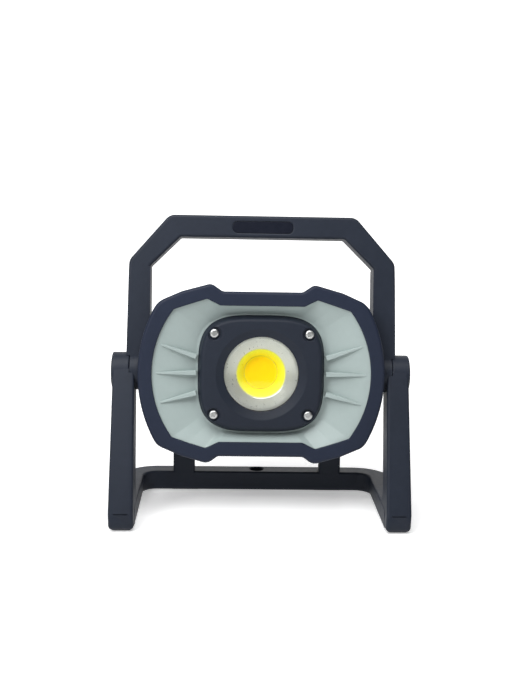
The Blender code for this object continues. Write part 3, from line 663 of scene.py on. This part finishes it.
def base_mesh():
    """Both rails and the rear crossbar in one piece."""
    half = STAND_WIDTH / 2
    front = STAND_FRONT + 10.0  # inside the arm's foot
    inner_rear = STAND_REAR - CROSSBAR_DEPTH
    outline = rounded(
        [
            (half, front, 0.0),
            (half, STAND_REAR, 30.0),
            (-half, STAND_REAR, 30.0),
            (-half, front, 0.0),
            (-RAIL_INNER, front, 0.0),
            (-RAIL_INNER, inner_rear, 11.0),
            (RAIL_INNER, inner_rear, 11.0),
            (RAIL_INNER, front, 0.0),
        ],
        16,
    )
    mesh = prism(outline, "Z", STAND_BOTTOM, RAIL_HEIGHT)
    soften(mesh, FOOT_CHAMFER, 3, where=lambda co: co.z < 1.0)
    return soften(mesh, 1.7, 4, where=lambda co: co.z > RAIL_HEIGHT - 0.1)


def pad_places():
    """Name, centre and half sizes of each rubber foot."""
    places = []
    for name, side in SIDES:
        places.append((f"foot_pad_front_{name}", (side * 100.7, STAND_FRONT + 15.0), (5.0, 9.0)))
        places.append((f"foot_pad_rear_{name}", (side * 58.0, STAND_REAR - 8.0), (12.0, 4.5)))
    return places


def pad_outline(centre, half, margin=0.0):
    u, v = half[0] + margin, half[1] + margin
    return rectangle(centre[0] - u, centre[0] + u, centre[1] - v, centre[1] + v, 2.0, 6)


def stand_cuts():
    """What is cut from the stand: pivot bores, crossbar hole, a line at each crease, seats for feet."""
    bore = [
        (80.0, EYE_ROOM),
        (EYE_INNER, EYE_ROOM),
        (EYE_INNER, WASHER_ROOM),
        (EYE_INNER + 1.0, WASHER_ROOM),
        (EYE_INNER + 1.0, BOLT_ROOM),
        (BOLT_SEAT, BOLT_ROOM),
        (BOLT_SEAT, BOLT_HEAD_ROOM),
        (CAP_SEAT, BOLT_HEAD_ROOM),
        (CAP_SEAT, CAP_ROOM),
        (120.0, CAP_ROOM),
    ]
    cuts = [turned(mirrored(bore, side), "X", FACETS_MEDIUM, PIVOT_YZ) for _, side in SIDES]
    hole = [(-5.0, 5.9), (0.9, 5.9), (1.3, 5.5), (15.4, 5.5), (RAIL_HEIGHT, 6.3), (25.0, 6.3)]
    cuts.append(turned(hole, "Z", FACETS_SMALL, (0.0, CROSSBAR_MIDDLE + 0.8)))
    for _, side in SIDES:
        line_x = sorted((side * 95.5, side * 106.0))
        cuts.append(box(line_x, (STAND_FRONT - 2.0, STAND_FRONT + 0.8), (13.6, 14.7)))
    for _, centre, half in pad_places():
        cuts.append(prism(pad_outline(centre, half, PAD_GAP), "Z", -5.0, PAD_HEIGHT + PAD_GAP))
    return cuts


def build_stand():
    parts = []
    for _, side in SIDES:
        parts.append(arm_mesh(side))
        eye = drum("X", side * EYE_INNER, side * EYE_OUTER, EYE_RADIUS, FACETS_MEDIUM, PIVOT_YZ)
        parts.append(soften(eye, 1.1, 3))
        post_x = sorted(side * x for x in POST_X)
        parts.append(soften(box(post_x, POST_Y, POST_Z), 1.5, 3))
    mesh = cut(add(base_mesh(), *parts), *stand_cuts())
    piece("stand_body", mesh, STAND, "stand", "stand_frame", "frame_plastic")


def build_feet():
    for name, centre, half in pad_places():
        mesh = soften(prism(pad_outline(centre, half), "Z", 0.0, PAD_HEIGHT), 0.5, 3)
        piece(f"{name}_rubber", mesh, STAND, "stand", name, "pad_rubber")


def build_pivot_caps():
    """Low domes over the pivot bolts, each with a shallow ring groove."""
    dome = [
        (109.7, 11.9),
        (111.0, 11.9),
        (111.3, 11.75),
        (111.55, 11.3),
        (111.65, 10.4),
        (111.5, 10.0),
        (111.5, 9.4),
        (111.7, 9.0),
        (111.9, 6.0),
        (112.0, 1.0),
    ]
    for name, side in SIDES:
        mesh = turned(mirrored(dome, side), "X", FACETS_MEDIUM, PIVOT_YZ)
        piece(f"pivot_cap_{name}_cover", mesh, STAND, "stand", f"pivot_cap_{name}", "frame_plastic")


# ---------------------------------------------------------------- handle

HANDLE_OUTER = 100.6
HANDLE_INNER = 83.2
HANDLE_EYE_OUTER = 97.6
HANDLE_TOP = 117.0
HANDLE_HALF_DEPTH = 9.0
BUSH_ROOM = 5.3
PLATE_HALF_WIDTH = 22.4
PLATE_Z = (104.05, 112.75)
PLATE_GAP = 0.3


def handle_outline():
    half = [(HANDLE_OUTER, 0.0, 0.0), (HANDLE_OUTER - 1.2, 82.8, 9.0), (69.6, HANDLE_TOP, 9.0)]
    inner = [(61.2, 100.6, 2.5), (HANDLE_INNER, 78.8, 2.5), (HANDLE_INNER, 0.0, 0.0)]
    outer = half + [(-x, z, r) for x, z, r in reversed(half)]
    return rounded(outer + [(-x, z, r) for x, z, r in reversed(inner)] + inner, 10)


def recess_tool():
    """Cutter for the plate's recess, wider at its mouth."""
    half_width = PLATE_HALF_WIDTH + PLATE_GAP
    floor = rectangle(-half_width, half_width, PLATE_Z[0] - PLATE_GAP, PLATE_Z[1] + PLATE_GAP, 4.0, 10)
    mouth = offset(floor, 0.9)
    front = -HANDLE_HALF_DEPTH
    levels = ((mouth, front - 5.0), (mouth, front), (floor, front + 0.5), (floor, front + 1.2))
    return skin([place(outline, "Y", level) for outline, level in levels])


def build_handle():
    bar = prism(handle_outline(), "Y", -HANDLE_HALF_DEPTH, HANDLE_HALF_DEPTH)
    mesh = soften(bar, 2.2, 4, where=lambda co: co.z > 0.1)
    eyes = []
    for _, side in SIDES:
        eye = drum("X", side * HANDLE_INNER, side * 99.1, EYE_RADIUS - 0.1, FACETS_MEDIUM)
        eyes.append(soften(eye, 0.9, 3))
    bore = [(75.0, BUSH_ROOM), (HANDLE_EYE_OUTER, BUSH_ROOM)]
    bore += [(HANDLE_EYE_OUTER, EYE_ROOM), (115.0, EYE_ROOM)]
    cuts = [turned(mirrored(bore, side), "X", FACETS_MEDIUM) for _, side in SIDES]
    mesh = cut(add(mesh, *eyes), *cuts, recess_tool())
    piece("handle_body", mesh, HANDLE, "handle", "handle_frame", "frame_plastic")


def build_handle_plate():
    outline = rectangle(-PLATE_HALF_WIDTH, PLATE_HALF_WIDTH, *PLATE_Z, 3.7, 10)
    mesh = soften(prism(outline, "Y", 0.4 - HANDLE_HALF_DEPTH, 0.9 - HANDLE_HALF_DEPTH), 0.2, 3)
    piece("handle_insert", mesh, HANDLE, "handle", "handle_plate", "plate_plastic")


# ---------------------------------------------------------------- lamp head

BEZEL_FRONT = -21.0
BEZEL_REAR = -14.9
BEZEL_NOSE = 2.4
PANEL_RIM = -18.7
PANEL_FLOOR = -9.0
PANEL_WALL = 2.0
RIB_ROOT_X = 48.1
RIB_ROOT_HALF, RIB_TIP_HALF = 1.8, 0.7
RIB_ROOT_Y = (-14.2, -8.2)  # the crown's level, and how deep the rib is buried
RIB_TIP_Y = (-18.2, -16.8)
RIBS = (((74.2, 21.6), 12.3), ((77.8, 0.5), 0.4), ((74.2, -21.4), -14.5))  # tip (x, z), then the root's z
MODULE_FRONT = -18.0
MODULE_SHOULDER = -14.6
MODULE_SCREW_X, MODULE_SCREW_Z = 35.1, 30.2
REAR_SCREW_X, REAR_SCREW_Z = 56.0, 40.5
LENS_RADIUS = 29.5
LENS_DOME = 0.7
CUP_WALL = 0.9
HOUSING_BACK = 31.5
HOUSING_WALL = 2.4
BUTTON_Z = 30.0


def build_bezel():
    """Bumper ring with a rounded nose, a lip over the panel's rim, and a rear face that slopes inwards."""
    rebate = offset(BEZEL_OPENING, 1.9)
    rows = [
        (BEZEL_OPENING, BEZEL_FRONT + 0.9),
        (offset(BEZEL_OPENING, 0.25), BEZEL_FRONT + 0.35),
        (offset(BEZEL_OPENING, 0.9), BEZEL_FRONT),
    ]
    for turn in quarter(6, first=0):
        nose = offset(BEZEL_OUTLINE, -BEZEL_NOSE * (1 - math.sin(turn)))
        rows.append((nose, BEZEL_FRONT + BEZEL_NOSE * (1 - math.cos(turn))))
    rows += [
        (BEZEL_OUTLINE, -18.1),
        (offset(BEZEL_OUTLINE, -0.3), -17.6),
        (offset(rebate, 1.4), BEZEL_REAR),
        (rebate, BEZEL_REAR),
        (rebate, BEZEL_FRONT + 2.0),
        (BEZEL_OPENING, BEZEL_FRONT + 2.0),
    ]
    mesh = skin([place(outline, "Y", level) for outline, level in rows], ring=True)
    piece("bumper_bezel", mesh, HEAD, "head", "front_bezel", "bezel_plastic")


def rib_mesh(side, tip, root_z):
    """Wedge rib that stands highest beside the light module and fades into the panel at its tip."""
    root = Vector((side * RIB_ROOT_X, root_z))
    tip = Vector((side * tip[0], tip[1]))
    across = (tip - root).orthogonal().normalized()
    plan = [root + across * RIB_ROOT_HALF, root - across * RIB_ROOT_HALF]
    plan += [tip - across * RIB_TIP_HALF, tip + across * RIB_TIP_HALF]
    loops = []
    for at_root, at_tip in zip(RIB_ROOT_Y, RIB_TIP_Y):
        loops.append([(p.x, level, p.y) for p, level in zip(plan, (at_root, at_root, at_tip, at_tip))])
    return soften(skin(loops), 0.45, 3)


def build_panel():
    """Dish that falls from the bezel's opening to the light module's seat, with three ribs on each side."""
    seat = oval((48.2, 44.7), 3.5, RIM_ANGLES)
    hole = oval((31.5, 31.5), 2.0, RIM_ANGLES)
    edge = offset(BEZEL_OPENING, -0.2)
    rows = [(RIM_OUTLINE, PANEL_RIM), (edge, PANEL_RIM)]
    for share in (0.2, 0.4, 0.6, 0.8, 0.95):
        rows.append((blended(edge, seat, share), PANEL_RIM + (PANEL_FLOOR - PANEL_RIM) * share))
    rows += [(seat, PANEL_FLOOR), (hole, PANEL_FLOOR)]
    loops = [place(outline, "Y", level) for outline, level in rows]
    loops += [place(outline, "Y", level + PANEL_WALL) for outline, level in reversed(rows)]
    ribs = []
    for _, side in SIDES:
        for tip, root_z in RIBS:
            ribs.append(rib_mesh(side, tip, root_z))
    mesh = add(skin(loops, ring=True), *ribs)
    piece("dished_panel", mesh, HEAD, "head", "front_panel", "panel_plastic", crease=24.0)


def build_module():
    """Cover over the optics: rounded shoulders, a flat face, screw pockets, and a cone down to the lens."""
    angles = [math.tau * k / FACETS_LARGE for k in range(FACETS_LARGE)]
    base = oval((47.2, 43.7), 3.5, angles)
    rows = [(base, -9.3), (offset(base, -0.9), -12.0), (offset(base, -1.8), MODULE_SHOULDER)]
    depth = MODULE_SHOULDER - MODULE_FRONT
    for turn in quarter(7):
        shoulder = offset(base, -1.8 - 3.2 * (1 - math.cos(turn)))
        rows.append((shoulder, MODULE_SHOULDER - depth * math.sin(turn)))
    cone = [
        (34.1, MODULE_FRONT),
        (33.6, -17.9),
        (33.2, -17.6),
        (28.4, -15.4),
        (28.0, -15.2),
        (27.9, -14.9),
        (27.9, -14.6),
        (29.8, -14.6),
        (29.8, -9.3),
    ]
    rows += [(circle(radius, FACETS_LARGE), level) for radius, level in cone]
    mesh = skin([place(outline, "Y", level) for outline, level in rows], ring=True)
    pocket = [(-30.0, 5.4), (-17.9, 5.4), (-17.5, 5.0), (-15.9, 4.7), (-15.9, 1.8), (0.0, 1.8)]
    cuts = []
    for _, side, up in CORNERS:
        cuts.append(turned(pocket, "Y", FACETS_TINY, (side * MODULE_SCREW_X, up * MODULE_SCREW_Z)))
    mesh = cut(mesh, *cuts)
    piece("module_cover", mesh, HEAD, "head", "module_housing", "module_plastic", crease=28.0)


def screw_mesh(front, radius, height, shank, tip, centre):
    """Pan-head screw with a cross recess. A negative height turns it round."""
    turn = math.copysign(1.0, height)
    profile = [
        (front, radius * 0.55),
        (front + 0.07 * height, radius * 0.74),
        (front + 0.2 * height, radius * 0.88),
        (front + 0.4 * height, radius * 0.97),
        (front + 0.6 * height, radius),
        (front + height, radius),
        (front + height, shank),
        (tip, shank),
    ]
    mesh = turned(profile, "Y", FACETS_TINY, centre)
    turned_by = centre[0] + centre[1]  # each screw stops at an angle of its own
    recess = [(centre[0] + u, centre[1] + v) for u, v in cross(radius * 0.62, turned_by)]
    return cut(mesh, prism(recess, "Y", front - turn, front + 0.75 * height))


def build_screws():
    for name, side, up in CORNERS:
        centre = (side * MODULE_SCREW_X, up * MODULE_SCREW_Z)
        mesh = screw_mesh(front=-17.9, radius=3.2, height=1.5, shank=1.5, tip=3.6, centre=centre)
        piece(f"module_screw_{name}_steel", mesh, HEAD, "head", f"module_screw_{name}", "steel")
        centre = (side * REAR_SCREW_X, up * REAR_SCREW_Z)
        mesh = screw_mesh(front=11.5, radius=2.9, height=-2.2, shank=1.4, tip=-8.8, centre=centre)
        piece(f"rear_screw_{name}_steel", mesh, HEAD, "head", f"rear_screw_{name}", "steel")


def build_lens():
    """Slightly domed lens with a rounded rim."""
    rim = -14.3
    profile = [(-12.3, LENS_RADIUS - 0.2), (-12.5, LENS_RADIUS), (-13.8, LENS_RADIUS)]
    profile += [(-14.15, LENS_RADIUS - 0.2), (rim, LENS_RADIUS - 0.6)]
    for radius in (27.0, 24.0, 20.0, 16.0, 12.0, 8.0, 4.0, 1.0):
        profile.append((rim - LENS_DOME * (1 - (radius / 28.0) ** 2), radius))
    piece("clear_lens", turned(profile, "Y", FACETS_LARGE), HEAD, "head", "lens", "lens_glass")


def build_reflector():
    """Cup with a steep throat round the LED, a wide flare and a flange under the lens."""
    throat = [(0.9, 12.6), (0.5, 12.8), (-7.9, 18.2), (-8.3, 18.6)]
    flare = [(-8.6, 19.3), (-10.1, 24.6), (-10.4, 25.8), (-10.6, 26.6)]
    inside = throat + flare
    flange = [(-10.6, 29.3), (-9.7, 29.3), (-9.7, 27.3)]
    outside = [(level + CUP_WALL, radius + CUP_WALL) for level, radius in reversed(inside[1:-1])]
    outside.append((0.9, 13.5))
    mesh = turned(inside + flange + outside, "Y", FACETS_LARGE, ring=True)
    piece("reflector_cup", mesh, HEAD, "head", "reflector", "reflector_chrome")


def build_seal():
    profile = [(-12.0, 29.3), (-11.8, 29.5), (-11.2, 29.5), (-11.0, 29.3), (-11.0, 27.7), (-11.9, 27.7)]
    mesh = turned(profile, "Y", FACETS_LARGE, ring=True)
    piece("lens_seal", mesh, HEAD, "head", "lens_gasket", "seal_rubber")


def build_emitter():
    profile = [(1.3, 12.45), (0.95, 12.45), (0.75, 12.3), (0.68, 11.8), (0.62, 6.0), (0.6, 1.0)]
    mesh = turned(profile, "Y", FACETS_MEDIUM)
    piece("phosphor_disc", mesh, HEAD, "head", "led_emitter", "led_phosphor")


def shell_mesh():
    """Rear shell, open to the front, that narrows from the bezel to a rounded back."""
    back = oval((79.0, 47.0), 6.0, RIM_ANGLES)
    middle = blended(RIM_OUTLINE, back, 0.7)
    outer = [(RIM_OUTLINE, BEZEL_REAR), (blended(RIM_OUTLINE, back, 0.4), 0.0)]
    outer += [(middle, 12.0), (back, 26.5)]
    for turn in quarter(6):
        edge = offset(back, -4.0 * (1 - math.cos(turn)))
        outer.append((edge, HOUSING_BACK - 4.5 + 4.5 * math.sin(turn)))
    inner = [(RIM_OUTLINE, BEZEL_REAR), (middle, 12.0), (back, 29.0)]
    loops = [place(outline, "Y", level) for outline, level in reversed(outer)]
    loops += [place(offset(outline, -HOUSING_WALL), "Y", level) for outline, level in inner]
    return skin(loops)


def shell_extras():
    """What is moulded onto the shell: pivot bosses, cooling ribs on the back, and pillars for the screws."""
    extras = []
    for _, side in SIDES:
        extras.append(drum("X", side * 69.0, side * 80.7, 7.6, FACETS_TINY))
        extras.append(soften(drum("X", side * 78.5, side * 82.7, 12.5, FACETS_SMALL), 0.6, 3))
        for k in range(4):
            x = side * (26.0 + 12.0 * k)
            rib = rectangle(x - 1.5, x + 1.5, -30.0, 30.0, 1.49, 6)
            extras.append(soften(prism(rib, "Y", HOUSING_BACK - 1.0, HOUSING_BACK + 1.6), 0.8, 3))
    for _, side, up in CORNERS:
        extras.append(drum("Y", 2.0, 30.0, 4.1, 24, (side * REAR_SCREW_X, up * REAR_SCREW_Z)))
    return extras


def shell_cuts():
    """Holes in the shell: for screws, pivots, button, level window and charging socket."""
    screw_bore = [(-5.0, 1.8), (9.0, 1.8), (9.0, 3.3), (31.0, 3.3), (31.6, 3.9), (40.0, 3.9)]
    pivot_bore = [(60.0, 5.5), (81.8, 5.5), (81.8, WASHER_ROOM), (90.0, WASHER_ROOM)]
    button_bore = [(20.0, 7.9), (31.0, 7.9), (31.6, 8.5), (40.0, 8.5)]
    socket = rectangle(-5.6, 5.6, -32.6, -27.4, 2.0, 6)
    window = rectangle(-9.3, 9.3, 12.7, 17.3, 2.0, 6)
    cuts = []
    for _, side, up in CORNERS:
        cuts.append(turned(screw_bore, "Y", 32, (side * REAR_SCREW_X, up * REAR_SCREW_Z)))
    cuts += [turned(mirrored(pivot_bore, side), "X", FACETS_TINY) for _, side in SIDES]
    cuts.append(turned(button_bore, "Y", FACETS_SMALL, (0.0, BUTTON_Z)))
    cuts += [prism(outline, "Y", 20.0, 40.0) for outline in (socket, window)]
    return cuts


def build_housing():
    mesh = cut(add(shell_mesh(), *shell_extras()), *shell_cuts())
    piece("housing_shell", mesh, HEAD, "head", "rear_housing", "housing_plastic", crease=28.0)


def build_button():
    """Round push button with a flange inside, a rounded edge and a ring groove."""
    profile = [
        (27.4, 9.0),
        (28.6, 9.0),
        (28.6, 7.5),
        (32.2, 7.5),
        (32.7, 7.3),
        (32.95, 6.9),
        (33.0, 6.4),
        (33.0, 5.4),
        (32.7, 5.1),
        (32.7, 4.5),
        (33.0, 4.2),
        (32.8, 2.0),
        (32.75, 0.5),
    ]
    mesh = turned(profile, "Y", FACETS_SMALL, (0.0, BUTTON_Z))
    piece("button_cap", mesh, HEAD, "button", "power_button", "button_rubber")


def build_port_cover():
    """Flap over the charging socket, with three grip bars at its free end."""
    outline = rectangle(-11.0, 11.0, -36.5, -23.0, 3.0)
    flap = soften(prism(outline, "Y", 31.8, 33.8), 0.7, 4)
    grips = [soften(box((-5.0, 5.0), (33.4, 34.1), (z, z + 0.8)), 0.25, 2) for z in (-35.0, -33.4, -31.8)]
    piece("charging_flap", add(flap, *grips), HEAD, "port_flap", "port_cover", "flap_rubber")


def dress_cad_nodes():
    """Gives every CAD node the finish of its material slot, for those that stay in view."""
    for entry in frame["record"]["subparts"]:
        node = frame["nodes"][entry["node"]]
        node.data.materials.clear()
        node.data.materials.append(LOOKS[entry["material_slot"]])


# ---------------------------------------------------------------- studio, in metres

FLOOR_HALF = 3.0
WALL_START = 1.2
WALL_BEND = 0.8
WALL_TOP = 3.2
WORLD_AS_LIGHT = 0.05
WORLD_AS_SEEN = 0.95


def softbox(name, centre, aim, size, power):
    data = bpy.data.lights.new(name, "AREA")
    data.shape = "RECTANGLE"
    data.size, data.size_y = size
    data.energy = power
    made = bpy.data.objects.new(name, data)
    bpy.context.scene.collection.objects.link(made)
    made.location = centre
    made.rotation_euler = (Vector(aim) - Vector(centre)).to_track_quat("-Z", "Y").to_euler()


def build_world():
    """Dim surroundings that look white where nothing stands in front of them."""
    world = bpy.data.worlds.new("studio")
    bpy.context.scene.world = world
    world.use_nodes = True
    background = world.node_tree.nodes["Background"]
    background.inputs["Color"].default_value = (1.0, 1.0, 1.0, 1.0)
    seen = world.node_tree.nodes.new("ShaderNodeLightPath").outputs["Is Camera Ray"]
    strength = world.node_tree.nodes.new("ShaderNodeMapRange")
    world.node_tree.links.new(seen, strength.inputs["Value"])
    strength.inputs["To Min"].default_value = WORLD_AS_LIGHT
    strength.inputs["To Max"].default_value = WORLD_AS_SEEN
    world.node_tree.links.new(strength.outputs[0], background.inputs["Strength"])


def paper_look():
    """White paper that glows away from the lamp, and returns less light than it shows."""
    n = Nodes("studio_paper")
    depth = n.math("ABSOLUTE", n.make("ShaderNodeSeparateXYZ", Vector=n.coordinates).outputs["Y"])
    seen = n.make("ShaderNodeLightPath").outputs["Is Camera Ray"]
    n.set(
        Base_Color=n.mix(seen, (0.55, 0.55, 0.55), (0.93, 0.93, 0.93)),
        Roughness=0.9,
        Emission_Color=(1.0, 1.0, 1.0, 1.0),
        Emission_Strength=n.spread(depth, 0.1, 0.9, 0.4, 1.0),
    )
    n.shader.inputs["Specular IOR Level"].default_value = 0.1
    return n.material


def build_sweep():
    """Floor that bends up into the wall behind the lamp."""
    line = [(-FLOOR_HALF, 0.0), (WALL_START, 0.0)]
    for turn in quarter(12):
        line.append((WALL_START + WALL_BEND * math.sin(turn), WALL_BEND * (1 - math.cos(turn))))
    line.append((WALL_START + WALL_BEND, WALL_TOP))
    mesh = bmesh.new()
    rows = [[mesh.verts.new((x, y, z)) for y, z in line] for x in (-FLOOR_HALF, FLOOR_HALF)]
    for i in range(1, len(line)):
        mesh.faces.new((rows[0][i - 1], rows[1][i - 1], rows[1][i], rows[0][i]))
    data = bpy.data.meshes.new("studio_sweep")
    mesh.to_mesh(data)
    mesh.free()
    data.shade_smooth()
    data.materials.append(paper_look())
    floor = bpy.data.objects.new("studio_sweep", data)
    bpy.context.scene.collection.objects.link(floor)


def build_camera():
    """Camera close to the lamp and a little above it, looking down, slightly to the right and rolled."""
    pitch = 0.191248317
    yaw = 0.0310126883
    roll = 0.0193527686
    place_at = (-0.02637654, -0.74056, 0.268663516)
    forward = Vector((math.sin(yaw), math.cos(yaw), 0.0))
    side = Vector((math.cos(yaw), -math.sin(yaw), 0.0))
    upright = Vector((0.0, 0.0, 1.0))
    look = forward * math.cos(pitch) - upright * math.sin(pitch)
    lift = upright * math.cos(pitch) + forward * math.sin(pitch)
    right = side * math.cos(roll) + lift * math.sin(roll)
    top = lift * math.cos(roll) - side * math.sin(roll)
    data = bpy.data.cameras.new("camera")
    data.lens = 51.43
    camera = bpy.data.objects.new("camera", data)
    bpy.context.scene.collection.objects.link(camera)
    turn = Matrix((right, top, -look)).transposed().to_4x4()
    camera.matrix_world = Matrix.Translation(place_at) @ turn
    bpy.context.scene.camera = camera


bpy.context.scene.view_settings.view_transform = "Standard"
build_stand()
build_feet()
build_pivot_caps()
build_handle()
build_handle_plate()
build_bezel()
build_panel()
build_module()
build_screws()
build_lens()
build_reflector()
build_seal()
build_emitter()
build_housing()
build_button()
build_port_cover()
dress_cad_nodes()
build_world()
softbox("key", (-0.42, -0.5, 0.55), (0.0, 0.0, 0.1), (0.35, 0.3), 2.9)
softbox("top", (-0.1, -0.45, 1.15), (0.0, 0.02, 0.0), (1.0, 0.8), 13.0)
build_sweep()
build_camera()
